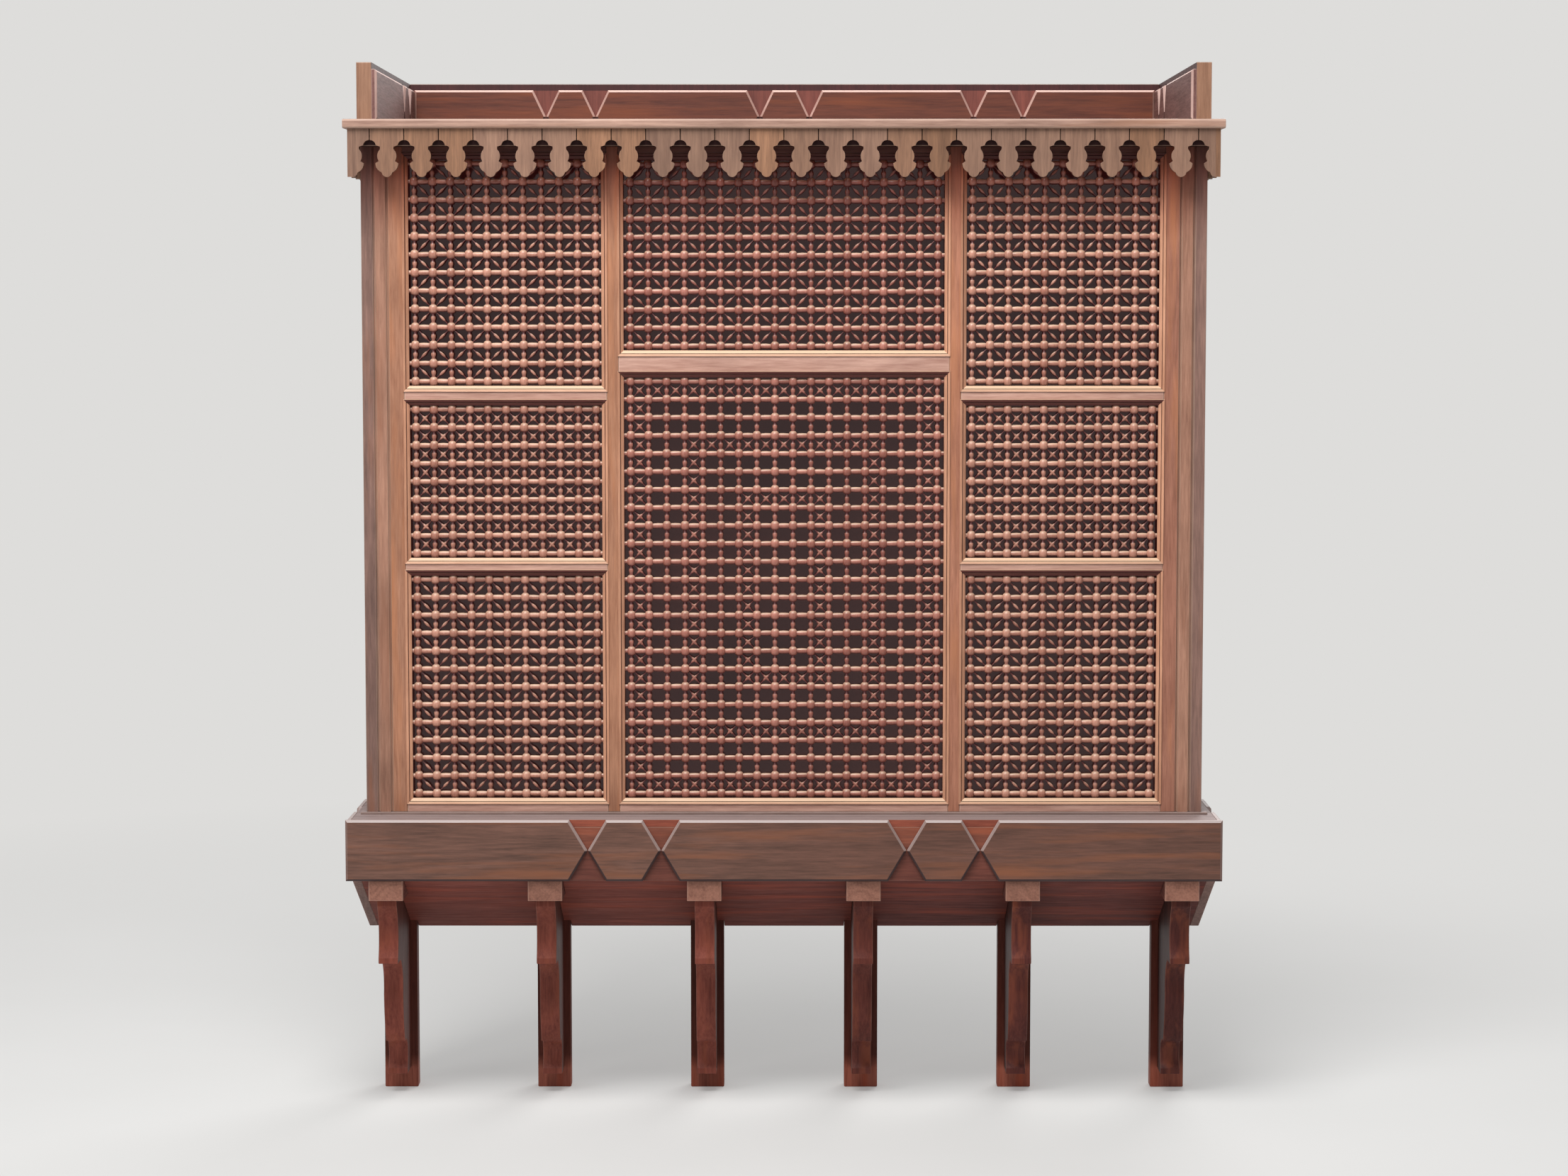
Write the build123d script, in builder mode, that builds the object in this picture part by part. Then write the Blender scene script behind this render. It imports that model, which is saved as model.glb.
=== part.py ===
# Projecting mashrabiya bay: a turned lattice screen on a sill ring, carried by six wall brackets.
# Millimetres. X runs along the wall, +Y into the wall, +Z up, and the screen looks towards -Y.
# The origin is at the centre of the back face of the wall ledger, where the bay is bolted to the wall.
from build123d import *
from math import hypot
import os

os.makedirs("parts", exist_ok=True)

# Sill ring and floor
sill_length = 3610.0
sill_depth = 616.0
sill_height = 254.0
facing_thickness = 22.0
beam_thickness = 60.0
deck_thickness = 30.0
plinth_height = 10.0
plinth_margin = 12.0

# Facing boards with pointed ends, which meet at crossings
crossing_gap = 2.0
notch_width = 150.0
front_pair_offset = 657.0
front_pair_spacing = 303.0
board_chamfer = 9.0

# Brackets and the sloping soffit between them
bracket_count = 6
bracket_spacing = 657.0
post_width = 142.0
post_thickness = 70.0
arm_height = 85.0
arm_setback = 20.0
post_foot_drop = 983.0
console_thickness = 82.0
console_setback = 36.0
console_lip = 28.0
console_fillet = 24.0
console_nose_reach = 525.0
console_nose_drop = 276.0
console_nose_step = 95.0
console_belly_top = 438.0
console_belly_top_reach = 348.0
console_belly_reach = 290.0
console_belly_drop = 651.0
console_belly_step = 50.0
console_toe_reach = 205.0
console_foot_gap = 87.0
console_hollow = 38.0
console_bulge = 12.0
soffit_drop = 296.0
soffit_setback = 41.0
soffit_thickness = 22.0
soffit_clearance = 1.0
cheek_thickness = 38.0

# Screen frame
screen_setback = 176.0
screen_height = 2817.0
frame_depth = 70.0
corner_post_width = 110.0
corner_post_depth = 84.0
corner_post_inset = 69.0
post_groove = 8.0
post_rib = 46.0
wall_post_width = 68.0
wall_post_thickness = 60.0
wall_post_inset = 57.0
stile_width = 62.0
mullion_width = 49.0
mullion_offset = 705.5
bottom_rail_height = 36.0
side_rail_heights = [32.0, 39.0]
centre_rail_heights = [69.0]
moulding_width = 18.0
moulding_thickness = 12.0
moulding_flat = 4.0
moulding_lip = 3.0
lattice_margin = 20.0

# Lattice and glass
pitch = 74.5
bar_width = 20.0
lattice_thickness = 28.0
side_rows = [12, 8, 12]
centre_rows = [23, 10]
glass_thickness = 5.0
glass_gap = 10.0
glass_clearance = 0.3

# Roof, valance and parapet
roof_thickness = 38.0
roof_inset = 12.0
roof_front_setback = 50.0
cap_width = 48.0
cap_chamfer = 6.0
butt_joint = 1.0
valance_setback = 18.0
valance_thickness = 20.0
valance_length = 196.0
valance_joint = 4.0
valance_front_boards = 24
valance_side_boards = 3
valance_rail_height = 70.0
valance_rail_thickness = 58.0
parapet_height = 234.0
parapet_thickness = 84.0
parapet_setback = 142.0
parapet_inset = 60.0
parapet_reach = 938.0
parapet_notch = 112.0
parapet_band = 28.0
parapet_pair_spacing = 222.0
parapet_pair_pitch = 960.0
parapet_side_pair = 1125.0

# Places that follow from the sizes above
half_sill = sill_length / 2
half_ring = half_sill - facing_thickness
ring_front = -sill_depth + facing_thickness
beam_top = sill_height / 2
beam_bottom = -sill_height / 2
ring_top = beam_top - deck_thickness
arm_bottom = beam_bottom - arm_height
arm_front = -sill_depth + arm_setback
foot = beam_bottom - post_foot_drop
screen_front = -sill_depth + screen_setback
screen_back = screen_front + frame_depth
screen_base = beam_top + plinth_height
roof_bottom = screen_base + screen_height
roof_top = roof_bottom + roof_thickness
post_outer = half_sill - corner_post_inset
post_inner = post_outer - corner_post_width
post_back = screen_front + corner_post_depth
wall_post_outer = half_sill - wall_post_inset
wall_post_front = -wall_post_thickness
stile_inner = post_inner - stile_width
mullion_outer = mullion_offset + mullion_width / 2
mullion_inner = mullion_offset - mullion_width / 2
bracket_places = [(i - (bracket_count - 1) / 2) * bracket_spacing for i in range(bracket_count)]
sides = {"left": -1, "right": 1}


# The sill ring: a front beam, two side beams and the ledger that is bolted to the wall.
with BuildPart() as wall_ledger:
    with Locations((0, -beam_thickness / 2, (ring_top + beam_bottom) / 2)):
        Box(2 * (half_ring - beam_thickness), beam_thickness, ring_top - beam_bottom)
wall_ledger.part.label = "wall_ledger"
export_step(wall_ledger.part, "parts/wall_ledger.step")

with BuildPart() as sill_front_beam:
    with Locations((0, ring_front + beam_thickness / 2, (ring_top + beam_bottom) / 2)):
        Box(2 * half_ring, beam_thickness, ring_top - beam_bottom)
sill_front_beam.part.label = "sill_front_beam"
export_step(sill_front_beam.part, "parts/sill_front_beam.step")

with BuildPart() as sill_side_beams:
    side_length = -ring_front - beam_thickness
    for sign in sides.values():
        place = sign * (half_ring - beam_thickness / 2)
        with Locations((place, -side_length / 2, (ring_top + beam_bottom) / 2)):
            Box(beam_thickness, side_length, ring_top - beam_bottom)
sill_side_beams.part.label = "sill_side_beams"
export_step(sill_side_beams.part, "parts/sill_side_beams.step")

# The floor lies on the ring, and its edge is covered by the facing boards.
with BuildPart() as floor_deck:
    with Locations((0, ring_front / 2, beam_top - deck_thickness / 2)):
        Box(2 * half_ring, -ring_front, deck_thickness)
floor_deck.part.label = "floor_deck"
export_step(floor_deck.part, "parts/floor_deck.step")

# Thin plinth strips under the screen, along the front and both sides.
plinth_front = screen_front - plinth_margin
plinth_outer = wall_post_outer + plinth_margin
plinth_inner = post_inner - plinth_margin
plinth_back = screen_back + plinth_margin
with BuildPart() as plinth:
    with Locations((0, (plinth_front + plinth_back) / 2, beam_top + plinth_height / 2)):
        Box(2 * plinth_outer, plinth_back - plinth_front, plinth_height)
    strip_length = -plinth_back - butt_joint
    for sign in sides.values():
        place = sign * (plinth_outer + plinth_inner) / 2
        with Locations((place, -strip_length / 2, beam_top + plinth_height / 2)):
            Box(plinth_outer - plinth_inner, strip_length, plinth_height)
plinth.part.label = "plinth"
export_step(plinth.part, "parts/plinth.step")


def facing_row(plane, crossings, length, high, low, notch, thickness, edge):
    """Facing boards end to end on a plane, with pointed, chamfered ends where two boards meet.

    The points are on the plane's X axis, and the boards run from low under it to high over it.
    """
    ends = [-length / 2] + sorted(crossings) + [length / 2]
    upper = notch / 2
    lower = upper * low / high
    with BuildPart() as row:
        for index in range(len(ends) - 1):
            start = ends[index]
            stop = ends[index + 1]
            corners = [(start, -low), (start, high)]
            if index > 0:
                start = start + crossing_gap / 2
                corners = [(start + lower, -low), (start, 0), (start + upper, high)]
            if index < len(ends) - 2:
                stop = stop - crossing_gap / 2
                corners += [(stop - upper, high), (stop, 0), (stop - lower, -low)]
            else:
                corners += [(stop, high), (stop, -low)]
            with BuildSketch(plane):
                with BuildLine():
                    Polyline(*corners, close=True)
                make_face()
            extrude(amount=thickness)
        front_faces = row.faces().filter_by(lambda face: face.normal_at().dot(plane.z_dir) > 0.9)
        chamfer(front_faces.edges(), edge)
    return row.part


# Facing boards round the sill. Two pairs of crossings are on the front and one crossing on each side.
front_crossings = [
    sign * (front_pair_offset + way * front_pair_spacing / 2) for sign in (-1, 1) for way in (-1, 1)
]
front_plane = Plane((0, ring_front, 0), x_dir=(1, 0, 0), z_dir=(0, -1, 0))
sill_boards_front = facing_row(front_plane, front_crossings, sill_length, beam_top, -beam_bottom,
                               notch_width, facing_thickness, board_chamfer)
sill_boards_front.label = "sill_boards_front"
export_step(sill_boards_front, "parts/sill_boards_front.step")

for side, sign in sides.items():
    side_plane = Plane((sign * half_ring, ring_front / 2, 0), x_dir=(0, sign, 0), z_dir=(sign, 0, 0))
    sill_boards_side = facing_row(side_plane, [0], -ring_front, beam_top, -beam_bottom,
                                  notch_width, facing_thickness, board_chamfer)
    sill_boards_side.label = f"sill_boards_{side}"
    export_step(sill_boards_side, f"parts/sill_boards_{side}.step")

# Six brackets: a post on the wall, an arm under the ring and a shaped console between them.
with BuildPart() as bracket_posts:
    for place in bracket_places:
        with Locations((place, -post_thickness / 2, (foot + arm_bottom) / 2)):
            Box(post_width, post_thickness, arm_bottom - foot)
bracket_posts.part.label = "bracket_posts"
export_step(bracket_posts.part, "parts/bracket_posts.step")

with BuildPart() as bracket_arms:
    for place in bracket_places:
        with Locations((place, arm_front / 2, beam_bottom - arm_height / 2)):
            Box(post_width, -arm_front, arm_height)
bracket_arms.part.label = "bracket_arms"
export_step(bracket_arms.part, "parts/bracket_arms.step")

console_front = arm_front + console_setback
console_foot = foot + console_foot_gap
nose = arm_bottom - console_nose_drop
belly_top = arm_bottom - console_belly_top
belly = arm_bottom - console_belly_drop


def curve(start, end, inward):
    """An arc between two points of a console's front edge, set inward at the middle."""
    return ThreePointArc(start, ((start.X + end[0]) / 2 + inward, (start.Y + end[1]) / 2), end)


with BuildPart() as bracket_consoles:
    for place in bracket_places:
        side_face = Plane((place - console_thickness / 2, 0, 0), x_dir=(0, 1, 0), z_dir=(1, 0, 0))
        with BuildSketch(side_face):
            with BuildLine():
                top = Line((-post_thickness, arm_bottom), (console_front, arm_bottom))
                lip = Line(top @ 1, (console_front, arm_bottom - console_lip))
                cove = curve(lip @ 1, (-console_nose_reach, nose + console_fillet), console_hollow)
                nose_face = Line(cove @ 1, (-console_nose_reach, nose))
                nose_step = Line(nose_face @ 1, (console_nose_step - console_nose_reach, nose))
                neck = curve(nose_step @ 1, (-console_belly_top_reach, belly_top), console_hollow)
                belly_face = curve(neck @ 1, (-console_belly_reach, belly), -console_bulge)
                belly_step = Line(belly_face @ 1, (console_belly_step - console_belly_reach, belly))
                toe_top = (-console_toe_reach, console_foot + console_fillet)
                instep = curve(belly_step @ 1, toe_top, console_hollow)
                toe = Line(instep @ 1, (-console_toe_reach, console_foot))
                base = Line(toe @ 1, (-post_thickness, console_foot))
                Line(base @ 1, top @ 0)
            make_face()
        extrude(amount=console_thickness)
bracket_consoles.part.label = "bracket_consoles"
export_step(bracket_consoles.part, "parts/bracket_consoles.step")

# The soffit slopes from the ring down to the wall, in boards fitted round the arms and consoles.
soffit_front = ring_front + soffit_setback - facing_thickness
soffit_foot = beam_bottom - soffit_drop
soffit_slope = soffit_drop / -soffit_front
soffit_rise = soffit_thickness * hypot(1, soffit_slope)
soffit_outline = [
    (soffit_front, beam_bottom), (0, soffit_foot), (0, soffit_foot + soffit_rise),
    (soffit_front + soffit_rise / soffit_slope, beam_bottom),
]
half_cheek = half_ring - cheek_thickness
console_gap = console_thickness / 2 + soffit_clearance
console_sides = [place + way * console_gap for place in bracket_places for way in (-1, 1)]
soffit_edges = [-half_cheek] + console_sides + [half_cheek]
with BuildPart() as soffit_boards:
    for left, right in zip(soffit_edges[0::2], soffit_edges[1::2]):
        with BuildSketch(Plane((left, 0, 0), x_dir=(0, 1, 0), z_dir=(1, 0, 0))):
            with BuildLine():
                Polyline(*soffit_outline, close=True)
            make_face()
        extrude(amount=right - left)
    slot = post_width + 2 * soffit_clearance
    for place in bracket_places:
        with Locations((place, 0, arm_bottom + arm_height / 2)):
            Box(slot, -2 * arm_front, arm_height + 2 * soffit_clearance, mode=Mode.SUBTRACT)
        with Locations((place, 0, (foot + arm_bottom) / 2)):
            Box(slot, 2 * (post_thickness + soffit_clearance), arm_bottom - foot, mode=Mode.SUBTRACT)
soffit_boards.part.label = "soffit_boards"
export_step(soffit_boards.part, "parts/soffit_boards.step")

with BuildPart() as soffit_cheeks:
    for sign in sides.values():
        outer = sign * half_ring
        with BuildSketch(Plane((outer, 0, 0), x_dir=(0, 1, 0), z_dir=(1, 0, 0))):
            with BuildLine():
                Polyline((soffit_front, beam_bottom), (0, soffit_foot), (0, beam_bottom), close=True)
            make_face()
        extrude(amount=-sign * cheek_thickness)
soffit_cheeks.part.label = "soffit_cheeks"
export_step(soffit_cheeks.part, "parts/soffit_cheeks.step")


def upright(place, front, back, width):
    """One full-height square post or stile, centred at place along X."""
    with Locations((place, (front + back) / 2, screen_base + screen_height / 2)):
        Box(width, back - front, screen_height)


# Posts of the screen. The corner posts carry two grooves, which part off a rib beside the stile.
groove_places = [post_inner + post_groove / 2, post_inner + 1.5 * post_groove + post_rib]
with BuildPart() as corner_posts:
    for sign in sides.values():
        with BuildSketch(Plane.XY.offset(screen_base)):
            with Locations((sign * (post_outer + post_inner) / 2, (screen_front + post_back) / 2)):
                Rectangle(corner_post_width, corner_post_depth)
            with Locations(*[(sign * place, screen_front + post_groove / 2) for place in groove_places]):
                Rectangle(post_groove, post_groove, mode=Mode.SUBTRACT)
        extrude(amount=screen_height)
corner_posts.part.label = "corner_posts"
export_step(corner_posts.part, "parts/corner_posts.step")

with BuildPart() as wall_posts:
    for sign in sides.values():
        upright(sign * (wall_post_outer - wall_post_width / 2), wall_post_front, 0, wall_post_width)
wall_posts.part.label = "wall_posts"
export_step(wall_posts.part, "parts/wall_posts.step")

with BuildPart() as stiles:
    for sign in sides.values():
        upright(sign * (post_inner + stile_inner) / 2, screen_front, screen_back, stile_width)
stiles.part.label = "stiles"
export_step(stiles.part, "parts/stiles.step")

with BuildPart() as mullions:
    for sign in sides.values():
        upright(sign * mullion_offset, screen_front, screen_back, mullion_width)
mullions.part.label = "mullions"
export_step(mullions.part, "parts/mullions.step")


def panel_levels(rows, rail_heights):
    """Bottom and top of each panel opening, from the lowest rail up."""
    levels = []
    level = screen_base
    for count, rail_height in zip(rows, rail_heights):
        height = count * pitch + 2 * lattice_margin + 2 * moulding_width
        levels.append((level + rail_height, level + rail_height + height))
        level = level + rail_height + height
    return levels


side_levels = panel_levels(side_rows, [bottom_rail_height] + side_rail_heights)
centre_levels = panel_levels(centre_rows, [bottom_rail_height] + centre_rail_heights)
bays = {
    "left": (-stile_inner, -mullion_outer, side_levels),
    "centre": (-mullion_inner, mullion_inner, centre_levels),
    "right": (mullion_outer, stile_inner, side_levels),
}


def rail(left, right, bottom, top):
    """One rail of the front frame, fitted between two uprights."""
    with Locations(((left + right) / 2, (screen_front + screen_back) / 2, (bottom + top) / 2)):
        Box(right - left, frame_depth, top - bottom)


with BuildPart() as bottom_rail:
    for left, right, levels in bays.values():
        rail(left, right, screen_base, levels[0][0])
bottom_rail.part.label = "bottom_rail"
export_step(bottom_rail.part, "parts/bottom_rail.step")

with BuildPart() as top_rail:
    for left, right, levels in bays.values():
        rail(left, right, levels[-1][1], roof_bottom)
top_rail.part.label = "top_rail"
export_step(top_rail.part, "parts/top_rail.step")

with BuildPart() as cross_rails:
    for left, right, levels in bays.values():
        for below, above in zip(levels, levels[1:]):
            rail(left, right, below[1], above[0])
cross_rails.part.label = "cross_rails"
export_step(cross_rails.part, "parts/cross_rails.step")

# The returns at both sides repeat the rails of the outer bays between the corner post and the wall post.
return_middle = (post_back + wall_post_front) / 2
return_width = wall_post_front - post_back
with BuildPart() as side_rails:
    for sign in sides.values():
        edges = [screen_base] + [level for pair in side_levels for level in pair] + [roof_bottom]
        for bottom, top in zip(edges[0::2], edges[1::2]):
            with Locations((sign * (post_outer - frame_depth / 2), return_middle, (bottom + top) / 2)):
                Box(frame_depth, return_width, top - bottom)
side_rails.part.label = "side_rails"
export_step(side_rails.part, "parts/side_rails.step")


def front_view(middle, inward, bottom, top):
    """A plane on the front, set inward from the screen face, that looks towards the street."""
    return Plane((middle, screen_front + inward, (bottom + top) / 2), x_dir=(1, 0, 0), z_dir=(0, -1, 0))


def side_view(sign, inward, bottom, top):
    """A plane on a return, set inward from its outer face, that looks sideways out of the bay."""
    place = (sign * (post_outer - inward), return_middle, (bottom + top) / 2)
    return Plane(place, x_dir=(0, sign, 0), z_dir=(sign, 0, 0))


# Bevelled mouldings like picture frames, planted round every opening in front of the lattice.
def moulding(view, width, height):
    """One mitred moulding on the view plane, flat beside the rails and bevelled down to the lattice."""
    with BuildSketch(view) as ring:
        Rectangle(width, height)
        Rectangle(width - 2 * moulding_width, height - 2 * moulding_width, mode=Mode.SUBTRACT)
    extrude(ring.sketch, amount=moulding_thickness)
    with BuildSketch(view.offset(moulding_lip)) as low:
        Rectangle(width - 2 * moulding_width, height - 2 * moulding_width)
    with BuildSketch(view.offset(moulding_thickness)) as high:
        Rectangle(width - 2 * moulding_flat, height - 2 * moulding_flat)
    loft([low.sketch, high.sketch], mode=Mode.SUBTRACT)


with BuildPart() as mouldings:
    for left, right, levels in bays.values():
        for bottom, top in levels:
            opening = front_view((left + right) / 2, moulding_thickness, bottom, top)
            moulding(opening, right - left, top - bottom)
    for sign in sides.values():
        for bottom, top in side_levels:
            moulding(side_view(sign, moulding_thickness, bottom, top), return_width, top - bottom)
mouldings.part.label = "mouldings"
export_step(mouldings.part, "parts/mouldings.step")


# The lattice: square bars at one pitch, fused where they cross, inside a border that the moulding covers.
def lattice_panel(view, width, height, rows):
    """One panel of lattice on the view plane, with as many columns as its width takes."""
    columns = int((width - 2 * moulding_width) // pitch)
    with BuildSketch(view) as grid:
        Rectangle(width, height)
        with GridLocations(pitch, pitch, columns, rows):
            Rectangle(pitch - bar_width, pitch - bar_width, mode=Mode.SUBTRACT)
    extrude(grid.sketch, amount=lattice_thickness)


lattice_inward = moulding_thickness + lattice_thickness
panel_names = {
    "left": ["bottom", "middle", "top"],
    "centre": ["bottom", "top"],
    "right": ["bottom", "middle", "top"],
}
bay_rows = {"left": side_rows, "centre": centre_rows, "right": side_rows}
for bay, (left, right, levels) in bays.items():
    for name, rows, (bottom, top) in zip(panel_names[bay], bay_rows[bay], levels):
        opening = front_view((left + right) / 2, lattice_inward, bottom, top)
        with BuildPart() as lattice:
            lattice_panel(opening, right - left, top - bottom, rows)
        lattice.part.label = f"lattice_{bay}_{name}"
        export_step(lattice.part, f"parts/lattice_{bay}_{name}.step")

for side, sign in sides.items():
    with BuildPart() as side_lattice:
        for rows, (bottom, top) in zip(side_rows, side_levels):
            lattice_panel(side_view(sign, lattice_inward, bottom, top), return_width, top - bottom, rows)
    side_lattice.part.label = f"lattice_return_{side}"
    export_step(side_lattice.part, f"parts/lattice_return_{side}.step")


# Glass behind the lattice, one pane to an opening.
def pane(view, width, height):
    """One pane on the view plane, cut a little smaller than its opening."""
    with BuildSketch(view) as sheet:
        Rectangle(width - 2 * glass_clearance, height - 2 * glass_clearance)
    extrude(sheet.sketch, amount=glass_thickness)


glass_inward = lattice_inward + glass_gap + glass_thickness
with BuildPart() as front_glass:
    for left, right, levels in bays.values():
        for bottom, top in levels:
            pane(front_view((left + right) / 2, glass_inward, bottom, top), right - left, top - bottom)
front_glass.part.label = "front_glass"
export_step(front_glass.part, "parts/front_glass.step")

with BuildPart() as side_glass:
    for sign in sides.values():
        for bottom, top in side_levels:
            pane(side_view(sign, glass_inward, bottom, top), return_width, top - bottom)
side_glass.part.label = "side_glass"
export_step(side_glass.part, "parts/side_glass.step")

# Roof deck with a cap moulding on its three free edges. Behind the wall face it is a balcony floor.
cap_outer = half_sill - roof_inset
cap_front = -sill_depth + roof_front_setback
deck_front = cap_front + cap_width
deck_half = cap_outer - cap_width
deck_back = parapet_reach + parapet_thickness
with BuildPart() as roof_deck:
    with Locations((0, (deck_front + deck_back) / 2, roof_bottom + roof_thickness / 2)):
        Box(2 * deck_half, deck_back - deck_front, roof_thickness)
roof_deck.part.label = "roof_deck"
export_step(roof_deck.part, "parts/roof_deck.step")

with BuildPart() as roof_cap:
    with Locations((0, cap_front + cap_width / 2, roof_bottom + roof_thickness / 2)):
        Box(2 * cap_outer, cap_width, roof_thickness)
    cap_side = -deck_front - butt_joint
    for sign in sides.values():
        place = sign * (deck_half + cap_width / 2)
        with Locations((place, -cap_side / 2, roof_bottom + roof_thickness / 2)):
            Box(cap_width, cap_side, roof_thickness)
    chamfer(roof_cap.edges().filter_by(Axis.X).group_by(Axis.Y)[0], cap_chamfer)
roof_cap.part.label = "roof_cap"
export_step(roof_cap.part, "parts/roof_cap.step")

# Valance: boards with a fretted outline side by side, so that each joint makes a keyhole.
valance_front = cap_front + valance_setback
valance_outer = cap_outer - valance_setback
valance_inner = valance_outer - valance_thickness
with BuildPart() as valance_rail:
    with Locations((0, valance_front + valance_thickness + valance_rail_thickness / 2,
                    roof_bottom - valance_rail_height / 2)):
        Box(2 * valance_inner, valance_rail_thickness, valance_rail_height)
valance_rail.part.label = "valance_rail"
export_step(valance_rail.part, "parts/valance_rail.step")


def half_board(half, drop):
    """Half a valance board: half a keyhole with a pointed ear, then a barbed lobe and half the tip."""
    with BuildSketch() as board:
        with BuildLine():
            top = Line((0, 0), (half, 0))
            joint = Line(top @ 1, (half, -0.24 * drop))
            dome = ThreePointArc(joint @ 1, (0.78 * half, -0.265 * drop), (0.65 * half, -0.345 * drop))
            ear = Line(dome @ 1, (0.4 * half, -0.375 * drop))
            ear_end = Line(ear @ 1, (0.4 * half, -0.43 * drop))
            belly = ThreePointArc(ear_end @ 1, (0.56 * half, -0.54 * drop), (0.48 * half, -0.675 * drop))
            barb = Line(belly @ 1, (0.68 * half, -0.72 * drop))
            lobe = ThreePointArc(barb @ 1, (0.56 * half, -0.84 * drop), (0.31 * half, -0.905 * drop))
            tip = ThreePointArc(lobe @ 1, (0.2 * half, -0.975 * drop), (0, -drop))
            Line(tip @ 1, top @ 0)
        make_face()
    return board.sketch


def valance_row(view, length, boards):
    """A row of fretted boards with half a board at each end, hung from the view plane's X axis."""
    step = length / (boards + 1)
    right_half = half_board((step - valance_joint) / 2, valance_length)
    left_half = mirror(right_half, about=Plane.YZ)
    with BuildPart() as row:
        with BuildSketch(view):
            for index in range(boards + 1):
                with Locations((index * step - length / 2, 0)):
                    add(right_half)
                with Locations(((index + 1) * step - length / 2, 0)):
                    add(left_half)
        extrude(amount=valance_thickness)
    return row.part


valance_view = Plane((0, valance_front + valance_thickness, roof_bottom), x_dir=(1, 0, 0), z_dir=(0, -1, 0))
valance_boards_front = valance_row(valance_view, 2 * valance_inner, valance_front_boards)
valance_boards_front.label = "valance_boards_front"
export_step(valance_boards_front, "parts/valance_boards_front.step")

for side, sign in sides.items():
    side_valance_place = (sign * valance_inner, valance_front / 2, roof_bottom)
    side_valance_view = Plane(side_valance_place, x_dir=(0, sign, 0), z_dir=(sign, 0, 0))
    valance_boards_side = valance_row(side_valance_view, -valance_front, valance_side_boards)
    valance_boards_side.label = f"valance_boards_{side}"
    export_step(valance_boards_side, f"parts/valance_boards_{side}.step")

# Parapet: two wings that run back from the front of the roof and a back board between them.
parapet_outer = half_sill - parapet_inset
parapet_inner = parapet_outer - parapet_thickness
parapet_core = parapet_thickness - facing_thickness
parapet_middle = roof_top + parapet_height / 2
parapet_board_rise = parapet_height / 2
parapet_board_drop = parapet_board_rise - parapet_band
parapet_point = roof_top + parapet_board_drop
parapet_front = -sill_depth + parapet_setback
with BuildPart() as parapet_beams:
    wing_length = deck_back - parapet_front
    for sign in sides.values():
        place = sign * (parapet_outer - parapet_core / 2)
        with Locations((place, parapet_front + wing_length / 2, parapet_middle)):
            Box(parapet_core, wing_length, parapet_height)
    with Locations((0, deck_back - parapet_core / 2, parapet_middle)):
        Box(2 * (parapet_inner + facing_thickness - butt_joint), parapet_core, parapet_height)
parapet_beams.part.label = "parapet_beams"
export_step(parapet_beams.part, "parts/parapet_beams.step")

# The boards on the parapet stop below its top edge, so that a band of the beam shows over them.
back_crossings = [
    pair * parapet_pair_pitch + way * parapet_pair_spacing / 2 for pair in (-1, 0, 1) for way in (-1, 1)
]
back_view = Plane((0, parapet_reach + facing_thickness, parapet_point), x_dir=(1, 0, 0), z_dir=(0, -1, 0))
parapet_boards_back = facing_row(back_view, back_crossings, 2 * parapet_inner, parapet_board_rise,
                                 parapet_board_drop, parapet_notch, facing_thickness, board_chamfer)
parapet_boards_back.label = "parapet_boards_back"
export_step(parapet_boards_back, "parts/parapet_boards_back.step")

for side, sign in sides.items():
    board_length = parapet_reach + facing_thickness - parapet_front
    pair_place = parapet_side_pair - board_length / 2
    wing_crossings = [-sign * (pair_place + way * parapet_pair_spacing / 2) for way in (-1, 1)]
    wing_face = sign * (parapet_inner + facing_thickness)
    wing_place = (wing_face, parapet_front + board_length / 2, parapet_point)
    wing_view = Plane(wing_place, x_dir=(0, -sign, 0), z_dir=(-sign, 0, 0))
    parapet_boards_side = facing_row(wing_view, wing_crossings, board_length, parapet_board_rise,
                                     parapet_board_drop, parapet_notch, facing_thickness, board_chamfer)
    parapet_boards_side.label = f"parapet_boards_{side}"
    export_step(parapet_boards_side, f"parts/parapet_boards_{side}.step")
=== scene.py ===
import math
import bpy
import numpy as np
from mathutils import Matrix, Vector


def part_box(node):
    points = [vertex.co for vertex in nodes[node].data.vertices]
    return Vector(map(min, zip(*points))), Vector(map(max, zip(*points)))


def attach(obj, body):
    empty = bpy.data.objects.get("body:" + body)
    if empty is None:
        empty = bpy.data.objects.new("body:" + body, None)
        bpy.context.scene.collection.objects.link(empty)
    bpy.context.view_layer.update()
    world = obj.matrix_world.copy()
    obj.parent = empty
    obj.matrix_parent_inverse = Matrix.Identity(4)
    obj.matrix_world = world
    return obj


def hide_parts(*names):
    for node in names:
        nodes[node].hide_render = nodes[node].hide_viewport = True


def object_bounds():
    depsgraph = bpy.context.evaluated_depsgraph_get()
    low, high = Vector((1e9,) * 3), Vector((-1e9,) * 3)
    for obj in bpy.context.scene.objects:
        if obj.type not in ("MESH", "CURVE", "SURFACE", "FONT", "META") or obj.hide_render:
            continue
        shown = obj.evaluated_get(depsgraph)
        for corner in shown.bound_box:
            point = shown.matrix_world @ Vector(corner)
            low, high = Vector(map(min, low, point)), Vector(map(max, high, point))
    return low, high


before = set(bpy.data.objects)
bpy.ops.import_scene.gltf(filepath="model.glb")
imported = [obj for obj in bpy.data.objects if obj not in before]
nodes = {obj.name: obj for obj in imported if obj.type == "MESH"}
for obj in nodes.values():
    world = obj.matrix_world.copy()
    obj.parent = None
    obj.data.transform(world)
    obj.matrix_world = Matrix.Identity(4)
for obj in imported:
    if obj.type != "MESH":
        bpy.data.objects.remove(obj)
cad_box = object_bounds()


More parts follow.
